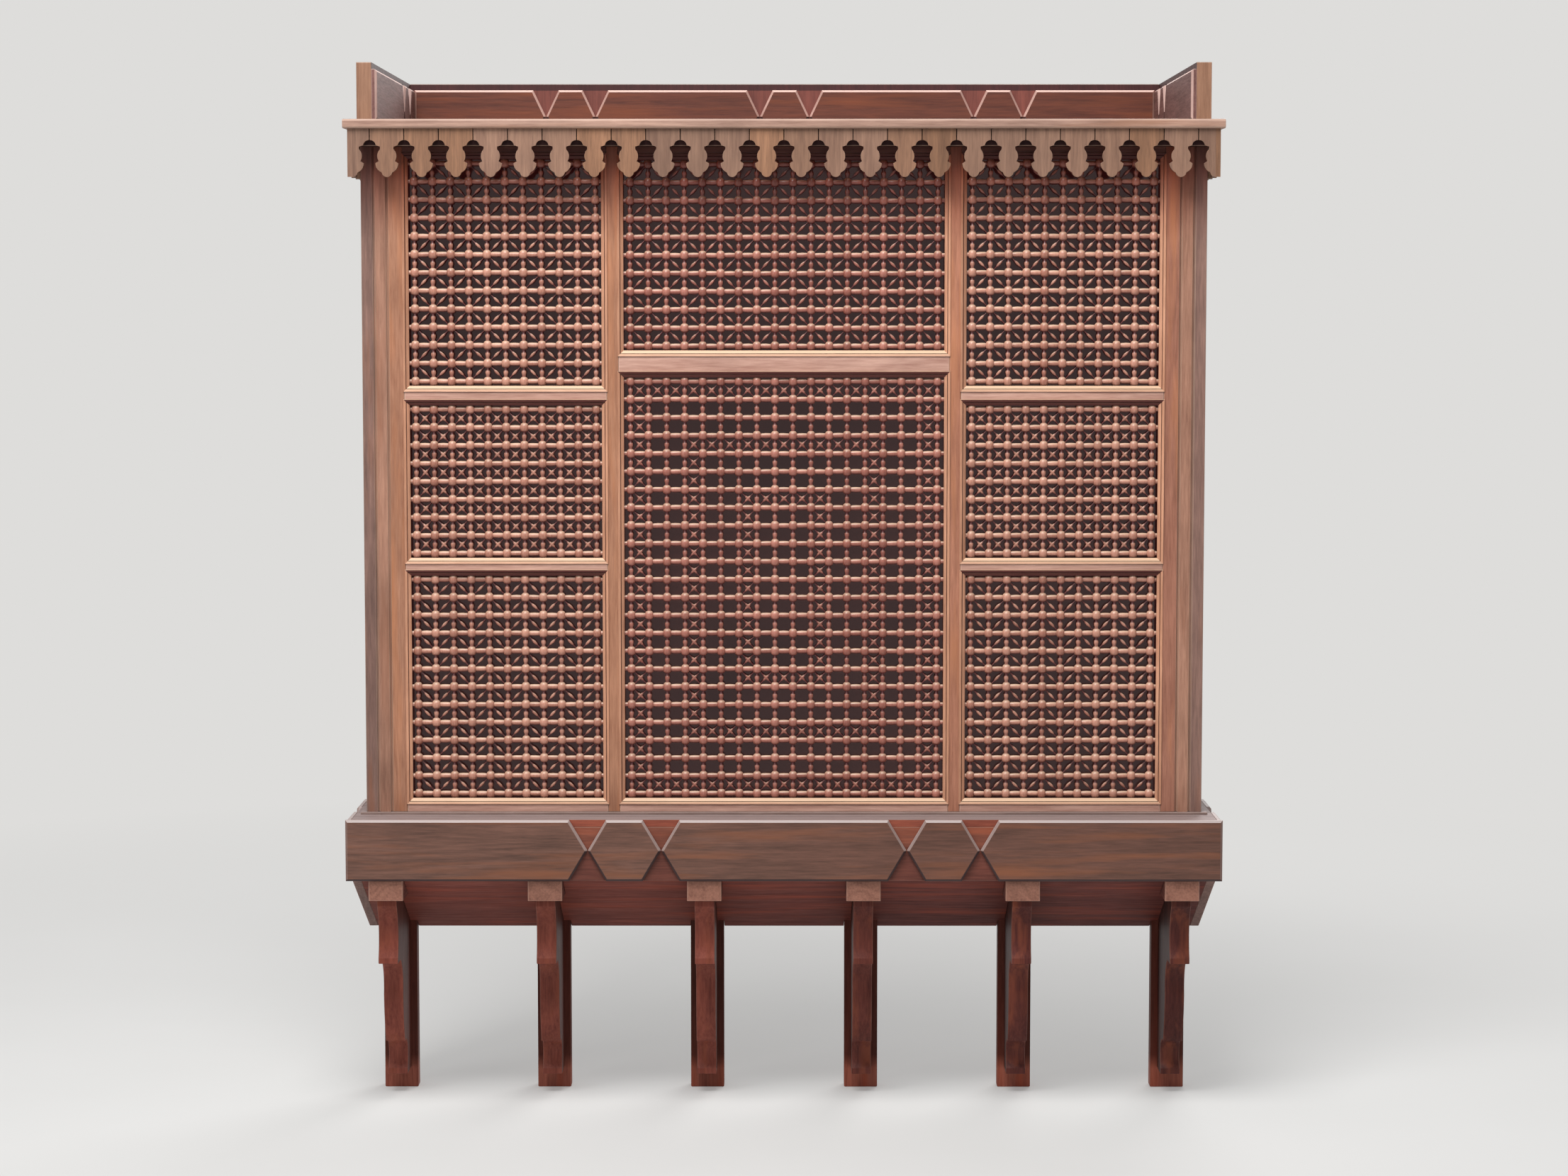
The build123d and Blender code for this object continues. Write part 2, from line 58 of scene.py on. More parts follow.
# Wall ledger and sill ring: squared beams of red-brown stained timber, bolted to the wall and joined at the
# corners. They show between the facing boards and from behind. The ledger and the front beam are darker in
# their lower half.
def srgb(red, green, blue):
    """A colour as seen, 0 to 255, in the linear values that a shader takes."""
    seen = np.array([red, green, blue]) / 255
    linear = np.where(seen <= 0.04045, seen / 12.92, ((seen + 0.055) / 1.055) ** 2.4)
    return (*linear.tolist(), 1.0)


def put(tree, kind, inputs=(), **options):
    """Adds a shader node, sets its options, and links or sets its inputs by name or number."""
    made = tree.nodes.new("ShaderNode" + kind)
    for option, value in options.items():
        setattr(made, option, value)
    for socket, value in dict(inputs).items():
        if isinstance(value, bpy.types.NodeSocket):
            tree.links.new(value, made.inputs[socket])
        else:
            made.inputs[socket].default_value = value
    return made


def part_of(tree, vector, axis):
    """One number of a vector: its X, Y or Z."""
    return put(tree, "SeparateXYZ", {0: vector}).outputs["XYZ".index(axis)]


def sums(tree, way, first, second=0.0, third=None):
    """One arithmetic step on up to three values."""
    values = {0: first, 1: second}
    if third is not None:
        values[2] = third
    return put(tree, "Math", values, operation=way).outputs[0]


def blend(tree, share, first, second, way="MIX"):
    """Mixes two colours, or multiplies the first by the second."""
    mixed = put(tree, "Mix", {0: share, 6: first, 7: second}, data_type="RGBA", blend_type=way)
    return mixed.outputs[2]


def ramp(tree, value, low, high, start=0.0, end=1.0):
    """Maps value from low..high to start..end, and holds it there."""
    inputs = {"Value": value, "From Min": low, "From Max": high, "To Min": start, "To Max": end}
    return put(tree, "MapRange", inputs).outputs[0]


def shade(tree, colour, tone):
    """Makes a colour lighter or darker by a factor."""
    grey = put(tree, "CombineColor", {0: tone, 1: tone, 2: tone}).outputs[0]
    return blend(tree, 1.0, colour, grey, "MULTIPLY")


def tinted(tree, share, colour, tint):
    """Multiplies a colour by a tint, 0 to 255, as far as the share goes."""
    return blend(tree, share, colour, srgb(*tint), "MULTIPLY")


def turned_to(tree, share, colour, figure, tones):
    """Turns wood to a second pair of colours, dark and light, which follow the same figure."""
    return blend(tree, share, colour, blend(tree, figure, srgb(*tones[0]), srgb(*tones[1])))


def board_lot(tree, place, boards, start, seed):
    """The random lot that each board draws: a colour and a value."""
    if boards == "tone":
        board = put(tree, "Attribute", attribute_name="tone").outputs["Vector"]
    else:
        begun = put(tree, "VectorMath", {0: place, 1: start}, operation="ADD").outputs[0]
        board = put(tree, "VectorMath", {0: begun, 1: boards}, operation="SNAP").outputs[0]
    return put(tree, "TexWhiteNoise", {"Vector": board, "W": seed}, noise_dimensions="4D")


def arris_share(tree, facing, swept):
    """1 on the rounded arrises of a squared piece and 0 on its faces and on a curved outline along swept."""
    sizes = put(tree, "VectorMath", {0: facing}, operation="ABSOLUTE").outputs[0]
    split = put(tree, "SeparateXYZ", {0: sizes})
    if swept:
        end_on = split.outputs["XYZ".index(swept)]
        beside = sums(tree, "SQRT", sums(tree, "SUBTRACT", 1.0, sums(tree, "MULTIPLY", end_on, end_on)))
        widest = sums(tree, "MAXIMUM", end_on, beside)
    else:
        widest = sums(tree, "MAXIMUM", split.outputs[0], split.outputs[1])
        widest = sums(tree, "MAXIMUM", widest, split.outputs[2])
    return ramp(tree, widest, 0.985, 0.9)


board_shift = 7.0
grain_stretch = 0.07
figure_scale = 5.0
rings_in_figure = 16.0
fibre_scale = 120.0
patch_scale = 2.6
streak_scale = 17.0
joint_half_width = 0.0012
joint_soft_edge = 0.003
joint_tone = (34, 24, 22)
relief_height = 0.0012


def timber(name, dark, light, along, boards=(0, 0, 0), start=(0, 0, 0), stock=None, right=None, rims=None,
           beyond=None, band=None, streak=None, joint=None, swept=None, worn=0.6, worn_tone=(176, 148, 128),
           grey=0.0, grey_tone=(150, 136, 128), rough=0.5, gloss=0.35, tone_spread=0.12, patchy=0.1, painted_light=None,
           height_tint=None, side_shade=1.0, seed=0.0):
    """Sawn and oiled wood with growth figure and fibres along one axis, board by board, worn at its edges.

    boards is the size of one board on each axis, 0 where a board runs through, counted from minus start, or
    "tone" where each length carries a number of its own. stock is (dark, light) for about half of the boards,
    right is (dark, light) for the right hand side of the bay, with a soft turn between, and rims is
    (dark, light) for the outer edges of a deck. beyond is (axis, distance, faces, dark, light) for wood that
    lies farther out along that axis, on faces that look along the axis faces, or on all where faces is "".
    band is (level, tint): a tint above a level. streak is a colour that runs along the grain. painted_light
    is (painted_highlight, shaded, groove_shade): a painted highlight on faces that look up, painted shade on
    faces that look down, and painted shade with grime in the bottoms of grooves. grey is how far rain has
    greyed the
    faces that look up. height_tint is (low, high, tint): from low to high the wood takes a tint. side_shade
    darkens faces that look along X with painted shade. joint is (axis, width) where dark joints show between
    boards. swept is the axis that a curved outline runs along, so that the curve itself isn't taken for a
    worn edge.
    """
    material = bpy.data.materials.new(name)
    material.use_nodes = True
    tree = material.node_tree
    shader = tree.nodes["Principled BSDF"]
    shader.inputs["Specular IOR Level"].default_value = gloss
    place = put(tree, "TexCoord").outputs["Object"]
    level = part_of(tree, place, "Z")
    facing = put(tree, "NewGeometry").outputs["True Normal"]
    upward = part_of(tree, facing, "Z")

    lot = board_lot(tree, place, boards, start, seed)
    shifts = {0: lot.outputs["Color"], 1: (board_shift, board_shift, board_shift)}
    shifts = put(tree, "VectorMath", shifts, operation="MULTIPLY").outputs[0]
    shifted = put(tree, "VectorMath", {0: place, 1: shifts}, operation="ADD").outputs[0]
    stretch = [grain_stretch if axis == along else 1.0 for axis in "XYZ"]
    grain = put(tree, "VectorMath", {0: shifted, 1: stretch}, operation="MULTIPLY").outputs[0]
    waves = {"Vector": grain, "Scale": figure_scale, "Detail": 2.0, "Distortion": 0.4}
    rings = sums(tree, "MULTIPLY", put(tree, "TexNoise", waves).outputs[0], rings_in_figure)
    rings = sums(tree, "PINGPONG", rings, 1.0)
    threads = {"Vector": grain, "Scale": fibre_scale, "Detail": 4.0, "Roughness": 0.65}
    fibres = put(tree, "TexNoise", threads).outputs[0]
    patches = put(tree, "TexNoise", {"Vector": shifted, "Scale": patch_scale, "Detail": 3.0}).outputs[0]

    figure = sums(tree, "MULTIPLY_ADD", fibres, 0.95, sums(tree, "MULTIPLY", rings, 0.2))
    figure = ramp(tree, figure, 0.3, 0.86)
    colour = blend(tree, figure, srgb(*dark), srgb(*light))
    if stock:
        other_stock = put(tree, "SeparateColor", {0: lot.outputs["Color"]}).outputs[1]
        colour = turned_to(tree, ramp(tree, other_stock, 0.3, 0.7), colour, figure, stock)
    if band:
        colour = tinted(tree, sums(tree, "GREATER_THAN", level, band[0]), colour, band[1])
    if right:
        colour = turned_to(tree, ramp(tree, part_of(tree, place, "X"), -0.6, 0.6), colour, figure, right)
    if rims:
        colour = turned_to(tree, ramp(tree, upward, 0.9, 0.6), colour, figure, rims)
    if beyond:
        axis, distance, faces, *tones = beyond
        far = sums(tree, "GREATER_THAN", sums(tree, "ABSOLUTE", part_of(tree, place, axis)), distance)
        if faces:
            looks = sums(tree, "ABSOLUTE", part_of(tree, facing, faces))
            far = sums(tree, "MULTIPLY", far, ramp(tree, looks, 0.5, 0.9))
        colour = turned_to(tree, far, colour, figure, tones)
    if streak:
        drawn = {"Vector": grain, "Scale": streak_scale, "Detail": 3.0, "Roughness": 0.6}
        runs = put(tree, "TexNoise", drawn).outputs[0]
        colour = blend(tree, ramp(tree, runs, 0.5, 0.72, 0.0, 0.75), colour, srgb(*streak))
    board_tone = ramp(tree, lot.outputs["Value"], 0.0, 1.0, 1.0 - tone_spread, 1.0 + tone_spread)
    patch_tone = ramp(tree, patches, 0.3, 0.7, 1.0 - patchy, 1.0 + patchy)
    colour = shade(tree, colour, sums(tree, "MULTIPLY", board_tone, patch_tone))

    rubbing = ramp(tree, patches, 0.3, 0.6, 0.4 * worn, worn)
    rubbed = sums(tree, "MULTIPLY", arris_share(tree, facing, swept), rubbing)
    colour = blend(tree, rubbed, colour, srgb(*worn_tone))
    # Painted light: faces that look up take a painted highlight, faces that look down painted shade, and
    # groove bottoms painted shade with grime.
    if painted_light:
        painted_highlight, shaded, groove_shade = painted_light
        colour = blend(tree, ramp(tree, upward, 0.25, 0.6, 0.0, 0.85), colour, srgb(*painted_highlight))
        colour = blend(tree, ramp(tree, upward, -0.1, -0.3, 0.0, 0.9), colour, srgb(*shaded))
        if boards == "tone":
            shade_and_grime = put(tree, "Attribute", attribute_name="shade_and_grime").outputs["Fac"]
            colour = blend(tree, ramp(tree, shade_and_grime, 0.3, 1.0, 0.0, 0.95), colour, srgb(*groove_shade))
    if grey:
        exposed = ramp(tree, upward, 0.5, 0.95, 0.0, grey)
        exposed = sums(tree, "MULTIPLY", exposed, ramp(tree, fibres, 0.3, 0.6, 0.5, 1.0))
        colour = blend(tree, exposed, colour, srgb(*grey_tone))
    relief = sums(tree, "MULTIPLY_ADD", rings, 0.35, fibres)
    if joint:
        axis, width = joint
        apart = sums(tree, "PINGPONG", part_of(tree, place, axis), width / 2)
        apart = ramp(tree, apart, joint_half_width, joint_soft_edge, 1.0, 0.0)
        apart = sums(tree, "MULTIPLY", apart, ramp(tree, sums(tree, "ABSOLUTE", upward), 0.5, 0.8))
        colour = blend(tree, sums(tree, "MULTIPLY", apart, 0.85), colour, srgb(*joint_tone))
        relief = sums(tree, "MULTIPLY_ADD", apart, -3.0, relief)
    # A tint from one height to another; on the screen near the roof and on the bracket posts it is painted
    # shade.
    if height_tint:
        low, high, tint = height_tint
        colour = tinted(tree, ramp(tree, level, low, high), colour, tint)
    # Painted shade on the faces that look along X.
    if side_shade < 1:
        sideways = sums(tree, "ABSOLUTE", part_of(tree, facing, "X"))
        colour = shade(tree, colour, ramp(tree, sideways, 0.5, 0.9, 1.0, side_shade))
    tree.links.new(colour, shader.inputs["Base Color"])
    tree.links.new(ramp(tree, fibres, 0.2, 0.8, rough + 0.1, rough - 0.08), shader.inputs["Roughness"])
    bump = put(tree, "Bump", {"Strength": 0.35, "Distance": relief_height, "Height": relief})
    tree.links.new(bump.outputs[0], shader.inputs["Normal"])
    return material


same_point = 0.00002
sharp_turn = math.radians(28)


def dress(names, material, arris):
    """Gives CAD pieces their wood and takes their sharp arrises off, as a plane does."""
    for name in names:
        piece = nodes[name]
        piece.material_slots[0].material = material
        weld = piece.modifiers.new("Weld", "WELD")
        weld.merge_threshold = same_point
        bevel = piece.modifiers.new("Arris", "BEVEL")
        bevel.width = arris
        bevel.segments = 2
        bevel.limit_method = "ANGLE"
        bevel.angle_limit = sharp_turn


lower_half = (0.02, -0.02, (206, 196, 206))
ring_wood = timber("ring_timber", (106, 56, 42), (146, 84, 64), "X", streak=(160, 82, 54), worn=0.3,
                   rough=0.55, height_tint=lower_half, seed=1.0)
dress(["wall_ledger", "sill_front_beam"], ring_wood, arris=0.003)
side_ring_wood = timber("side_ring_timber", (116, 60, 46), (158, 88, 68), "Y", streak=(168, 84, 52), worn=0.3,
                        rough=0.55, seed=2.0)
dress(["sill_side_beams"], side_ring_wood, arris=0.003)

# Six brackets of dark red-brown stained hardwood: a post on the wall, a shaped console and a square arm above
# it. The ends of the arms are paler, because end grain weathers. The sides of the consoles carry painted
# shade, and the posts carry painted shadow of the consoles down to their feet, which stand free below the
# consoles and show paler.
bracket_step = 0.657
# The faces of the consoles that look along X are darkened with painted shade.
console_wood = timber("console_timber", (96, 46, 37), (136, 72, 58), "Z", boards=(bracket_step, 0, 0),
                      right=((60, 27, 25), (90, 45, 38)), swept="X", streak=(126, 66, 46), worn=0.6,
                      worn_tone=(142, 94, 80), rough=0.5, gloss=0.15, tone_spread=0.2, side_shade=0.5, seed=3.0)
dress(["bracket_consoles"], console_wood, arris=0.004)
# Painted shadow of the consoles on the posts, above their feet.
console_shadow = (-1.03, -0.97, (158, 142, 138))
post_wood = timber("bracket_post_timber", (114, 59, 47), (160, 93, 75), "Z", boards=(bracket_step, 0, 0),
                   streak=(150, 70, 48), worn=0.6, worn_tone=(156, 100, 84), rough=0.5, gloss=0.15,
                   tone_spread=0.18, height_tint=console_shadow, seed=4.0)
dress(["bracket_posts"], post_wood, arris=0.004)
arm_tip = 0.57
arm_wood = timber("bracket_arm_timber", (84, 44, 38), (120, 70, 60), "Y", boards=(bracket_step, 0, 0),
                  beyond=("Y", arm_tip, "", (112, 72, 58), (154, 106, 88)), worn=0.8,
                  worn_tone=(168, 130, 114), rough=0.55, tone_spread=0.14, seed=5.0)
dress(["bracket_arms"], arm_wood, arris=0.004)

# Soffit: dark stained boards that slope from the ring down to the wall between the brackets. A triangular
# cheek closes them at each end.
soffit_wood = timber("soffit_timber", (92, 43, 37), (132, 72, 60), "X", right=((74, 34, 31), (110, 58, 50)),
                     swept="X", streak=(142, 66, 48), worn=0.2, rough=0.6, gloss=0.1, seed=6.0)
dress(["soffit_boards"], soffit_wood, arris=0.002)
cheek_wood = timber("cheek_timber", (104, 72, 62), (142, 108, 98), "Y", swept="X", worn=0.3, rough=0.6,
                    seed=7.0)
dress(["soffit_cheeks"], cheek_wood, arris=0.003)

# Sill: facing boards with pointed, chamfered ends, weathered brown, planted on the ring. Their chamfers are
# rubbed pale; those that look up also carry a painted highlight and those that look down painted shade.
sill_tones = ((84, 58, 48), (124, 87, 73))
# The last colours are painted light: a highlight on faces that look up and shade on faces that look down.
sill_finish_and_painted_light = dict(streak=(136, 82, 54), worn=0.75, worn_tone=(138, 112, 104), grey=0.5,
                   grey_tone=(168, 152, 148), rough=0.5, painted_light=((190, 176, 172), (48, 26, 28), (40, 20, 20)))
sill_wood = timber("sill_timber", *sill_tones, "X", right=((78, 52, 42), (114, 77, 64)), seed=8.0,
                   **sill_finish_and_painted_light)
dress(["sill_boards_front"], sill_wood, arris=0.0015)
side_sill_wood = timber("side_sill_timber", *sill_tones, "Y", seed=9.0, **sill_finish_and_painted_light)
dress(["sill_boards_left", "sill_boards_right"], side_sill_wood, arris=0.0015)

# Floor of the bay and the thin plinth under the screen: boards bleached grey where rain reaches them. The
# edges of the floor keep the red-brown stain.
ledge_board = 0.099
ledge_tones = ((118, 94, 86), (158, 134, 126))
ledge_finish = dict(worn=0.5, grey=0.85, grey_tone=(148, 132, 130), rough=0.65)
ledge_wood = timber("ledge_timber", *ledge_tones, "X", boards=(0, ledge_board, 0), joint=("Y", ledge_board),
                    rims=((116, 54, 40), (158, 82, 60)), seed=10.0, **ledge_finish)
dress(["floor_deck"], ledge_wood, arris=0.003)
plinth_wood = timber("plinth_timber", *ledge_tones, "X", seed=10.5, **ledge_finish)
dress(["plinth"], plinth_wood, arris=0.002)

# Posts and rails of the screen: planed and oiled hardwood, mortised together. The left hand side is the paler
# one, and the outer half of each corner post is greyer than the rib beside the stile. Boards counted as wider
# than half of the bay give the left and the right hand piece a lot each.
# Painted shade on the screen just under the valance: a darker tint from here up to the roof.
roof_shade = (2.5, 2.78, (196, 152, 144))
each_side = 2.0
left_and_right = (each_side, 0, 0)
stile_wood = timber("stile_timber", (138, 91, 68), (184, 134, 107), "Z", boards=left_and_right,
                    right=((132, 84, 66), (178, 122, 100)), streak=(184, 120, 82), rough=0.42,
                    height_tint=roof_shade, seed=11.0, tone_spread=0.03)
dress(["stiles"], stile_wood, arris=0.003)
mullion_wood = timber("mullion_timber", (143, 95, 71), (185, 133, 104), "Z", boards=left_and_right,
                      right=((144, 92, 70), (190, 130, 104)), streak=(188, 124, 86), rough=0.42,
                      height_tint=roof_shade, seed=12.0, tone_spread=0.03)
dress(["mullions"], mullion_wood, arris=0.003)
post_parting = 1.684
corner_wood = timber("corner_post_timber", (130, 90, 72), (176, 130, 108), "Z", boards=left_and_right,
                     beyond=("X", post_parting, "", (100, 74, 66), (144, 110, 98)), streak=(144, 94, 70),
                     worn=0.5, rough=0.5, height_tint=roof_shade, seed=13.0, tone_spread=0.04, patchy=0.16)
dress(["corner_posts"], corner_wood, arris=0.003)
# Painted shade: the wall posts are coloured near black, as they look in shade.
wall_post_shade_wood = timber("wall_post_painted_shade", (46, 28, 26), (78, 52, 46), "Z", boards=left_and_right, worn=0.3,
                        worn_tone=(110, 86, 78), rough=0.6, seed=14.0)
dress(["wall_posts"], wall_post_shade_wood, arris=0.003)
column_step = 1.411
rail_band = 0.3
rail_wood = timber("rail_timber", (162, 118, 103), (208, 167, 150), "X", boards=(column_step, 0, rail_band),
                   start=(column_step / 2, 0, 0), rough=0.42, worn=0.7, worn_tone=(220, 190, 170), seed=15.0,
                   tone_spread=0.06)
dress(["bottom_rail", "cross_rails"], rail_wood, arris=0.003)
# Painted shade: the top rail under the valance is coloured dark red-brown, as it looks in shade.
top_rail_shade_wood = timber("top_rail_painted_shade", (84, 42, 36), (122, 70, 58), "X", worn=0.3, rough=0.5, seed=15.5)
dress(["top_rail"], top_rail_shade_wood, arris=0.003)
return_rail_wood = timber("return_rail_timber", (140, 98, 82), (186, 140, 120), "Y",
                          boards=(each_side, 0, rail_band), rough=0.45, seed=16.0, tone_spread=0.08)
dress(["side_rails"], return_rail_wood, arris=0.003)

# Mouldings: mitred lengths like picture frames, pinned round every opening in front of the lattice. A bevel
# laps over the edge of the rail, and behind a fine groove a second one falls to the lattice. The profile is
# (inward, rise, shade and grime) from the edge of the opening and the front of the lattice; the last value
# darkens the groove and the edges with painted shade and grime.
moulding_profile = [(-0.0045, 0.0118, 1.0), (-0.0042, 0.0154, 0.2), (-0.0030, 0.0166, 0.0),
                    (0.0050, 0.0136, 0.0), (0.0064, 0.0112, 0.2), (0.0068, 0.0070, 1.0),
                    (0.0086, 0.0070, 1.0), (0.0090, 0.0108, 0.2), (0.0190, 0.0036, 0.0),
                    (0.0210, 0.0014, 0.5), (0.0210, 0.0, 1.0), (0.0, 0.0, 1.0), (0.0, 0.0118, 1.0)]
# The three last colours are painted light: a highlight on bevels that look up, shade on those that look down,
# and shade with grime in the groove.
moulding_finish_and_painted_light = dict(boards="tone", rough=0.4, gloss=0.2, worn=0.0,
                       painted_light=((220, 186, 154), (72, 18, 26), (60, 22, 20)))
moulding_woods = [
    timber("moulding_level_timber", (172, 120, 96), (216, 166, 138), "X", height_tint=roof_shade, seed=17.0,
           tone_spread=0.06, **moulding_finish_and_painted_light),
    timber("moulding_upright_timber", (166, 114, 88), (214, 160, 130), "Z", height_tint=roof_shade, seed=17.2,
           tone_spread=0.08, **moulding_finish_and_painted_light),
    timber("return_moulding_timber", (150, 102, 82), (194, 146, 122), "Y", seed=17.4, tone_spread=0.06,
           **moulding_finish_and_painted_light),
]
front_level, upright, return_level = range(3)
chance = np.random.default_rng(20)


def turn_out(points, side):
    """Turns points of the front, which look along -Y, to the left or right hand side of the bay."""
    if side == "right":
        return np.stack([-points[:, 1], points[:, 0], points[:, 2]], axis=-1)
    if side == "left":
        return np.stack([points[:, 1], -points[:, 0], points[:, 2]], axis=-1)
    return points


def mitred_frame(width, height):
    """Four mitred lengths round an opening about its middle, as (points, faces, shade and grime, level) each.
    """
    inward, rise, shade_and_grime = np.array(moulding_profile).T
    count = len(inward)
    near = np.arange(count)
    after = (near + 1) % count
    faces = np.stack([near, near + count, after + count, after], axis=-1)
    lengths = []
    for turn, (cos, sin) in enumerate([(1, 0), (0, 1), (-1, 0), (0, -1)]):
        level = turn % 2 == 0
        half_run, half_gap = (width / 2, height / 2) if level else (height / 2, width / 2)
        run = np.concatenate([-(half_run - inward), half_run - inward])
        gap = np.tile(-(half_gap - inward), 2)
        points = np.stack([run * cos - gap * sin, -np.tile(rise, 2), run * sin + gap * cos], axis=-1)
        lengths.append((points, faces, np.tile(shade_and_grime, 2), level))
    return lengths


def new_piece(name, node, points, faces, tones, shade_and_grime):
    """A mesh object that rides on the bay and stands for a CAD node, with a tone and a shade and grime value
    at each point.
    """
    mesh = bpy.data.meshes.new(name)
    mesh.from_pydata(np.concatenate(points), [], np.concatenate(faces).tolist())
    for stored, values in (("tone", tones), ("shade_and_grime", shade_and_grime)):
        attribute = mesh.attributes.new(stored, "FLOAT", "POINT")
        attribute.data.foreach_set("value", np.concatenate(values).astype(np.float32))
    piece = bpy.data.objects.new(name, mesh)
    bpy.context.scene.collection.objects.link(piece)
    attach(piece, "root")
    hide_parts(node)
    return piece


side_levels = ("bottom", "middle", "top")
openings = []
for bay, levels in (("left", side_levels), ("centre", ("bottom", "top")), ("right", side_levels)):
    for level in levels:
        low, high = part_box(f"lattice_{bay}_{level}")
        middle = ((low.x + high.x) / 2, low.y, (low.z + high.z) / 2)
        openings.append((middle, high.x - low.x, high.z - low.z, None))
for side in ("left", "right"):
    low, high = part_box(f"lattice_return_{side}")
    for level in side_levels:
        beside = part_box(f"lattice_{side}_{level}")
        middle = (low.x if side == "left" else high.x, (low.y + high.y) / 2, (beside[0].z + beside[1].z) / 2)
        openings.append((middle, high.y - low.y, beside[1].z - beside[0].z, side))

points, faces, tones, shades_and_grimes, kinds = [], [], [], [], []
total = 0
for middle, width, height, side in openings:
    for length_points, length_faces, length_shade_and_grime, level in mitred_frame(width, height):
        points.append(turn_out(length_points, side) + np.array(middle))
        faces.append(length_faces + total)
        tones.append(np.full(len(length_points), chance.random()))
        shades_and_grimes.append(length_shade_and_grime)
        if not level:
            kind = upright
        elif side is None:
            kind = front_level
        else:
            kind = return_level
        kinds.append(np.full(len(length_faces), kind))
        total += len(length_points)
mouldings = new_piece("panel_mouldings", "mouldings", points, faces, tones, shades_and_grimes)
for material in moulding_woods:
    mouldings.data.materials.append(material)
mouldings.data.polygons.foreach_set("material_index", np.concatenate(kinds).astype(np.int32))

# Lattice: upright rods turned with a large bead at each crossing and a small one between, joined by short
# turned links. Thin tapered sticks lie across the cells. Each panel is glued up inside a border of battens
# that the moulding covers. Every turning is (height, radius, shade and grime) at each ring: old oil in the
# necks, and painted shadow under each large bead and at the ends of the links and sticks.
pitch = 0.0745
rod_depth = -0.414
batten = 0.016
batten_half_depth = 0.010
batten_shade_and_grime = 0.3
# The lower end of each large bead is darker than its upper end: painted shadow under the bead.
bead_turning = [(-0.0190, 0.0060, 1.0), (-0.0168, 0.0118, 0.5), (-0.0102, 0.0170, 0.0), (0.0, 0.0189, 0.0),
                (0.0102, 0.0170, 0.0), (0.0168, 0.0118, 0.2), (0.0190, 0.0076, 0.55)]
small_turning = [(-0.0108, 0.0074, 0.6), (-0.0064, 0.0092, 0.3), (0.0, 0.0102, 0.2), (0.0062, 0.0092, 0.4),
                 (0.0096, 0.0062, 1.0)]
link_turning = [(-0.0230, 0.0088, 0.5), (-0.0160, 0.0103, 0.15), (0.0, 0.0111, 0.0), (0.0160, 0.0103, 0.15),
                (0.0230, 0.0088, 0.5)]
stick_turning = [(-0.0400, 0.0013, 1.0), (-0.0175, 0.0024, 1.0), (-0.0100, 0.0050, 0.3), (0.0, 0.0062, 0.2),
                 (0.0100, 0.0050, 0.3), (0.0175, 0.0024, 1.0), (0.0400, 0.0013, 1.0)]
stub_neck, stub_middle = (0.0085, 0.6), (0.0098, 0.1)
rod_end_shade_and_grime = 0.5
rod_sides, link_sides, stick_sides = 12, 10, 6
crease = math.radians(60)
glue_slip = 0.0004
link_sway = 0.012
stick_sway = 0.02


def turned(turning, sides):
    """Points, faces and shade and grime values of a turned piece along its Z, from (height, radius, shade and
    grime) at each ring.
    """
    height, radius, shade_and_grime = np.array(turning).T
    around = np.arange(sides) * 2 * np.pi / sides
    points = np.stack([np.outer(radius, np.cos(around)), np.outer(radius, np.sin(around)),
                       np.repeat(height[:, None], sides, axis=1)], axis=-1).reshape(-1, 3)
    ring, spoke = np.meshgrid(np.arange(len(height) - 1), np.arange(sides), indexing="ij")
    turn = (spoke + 1) % sides
    quads = [ring * sides + spoke, ring * sides + turn, (ring + 1) * sides + turn, (ring + 1) * sides + spoke]
    return points, np.stack(quads, axis=-1).reshape(-1, 4), np.repeat(shade_and_grime, sides)


def copies(piece, places, angles):
    """Copies of a turned piece in the plane of the panel, each with a place, a tilt and a tone of its own."""
    points, faces, shade_and_grime = piece
    across = points[:, 2] * np.sin(angles)[:, None] + points[:, 0] * np.cos(angles)[:, None] + places[:, :1]
    upward = points[:, 2] * np.cos(angles)[:, None] - points[:, 0] * np.sin(angles)[:, None] + places[:, 1:]
    depth = np.broadcast_to(points[:, 1], across.shape)
    count = len(places)
    every = np.stack([across, depth, upward], axis=-1).reshape(-1, 3)
    joined = (faces[None] + (np.arange(count) * len(points))[:, None, None]).reshape(-1, 4)
    return every, joined, np.tile(shade_and_grime, count), np.repeat(chance.random(count), len(points))


def batten_box(left, right, bottom, top):
    """One batten of the border, about as thick as the small beads."""
    depths = (-batten_half_depth, batten_half_depth)
    corners = np.array([(x, y, z) for x in (left, right) for y in depths for z in (bottom, top)])
    faces = np.array([(0, 1, 3, 2), (4, 6, 7, 5), (0, 4, 5, 1), (2, 3, 7, 6), (0, 2, 6, 4), (1, 5, 7, 3)])
    count = len(corners)
    return corners, faces, np.full(count, batten_shade_and_grime), np.full(count, chance.random())


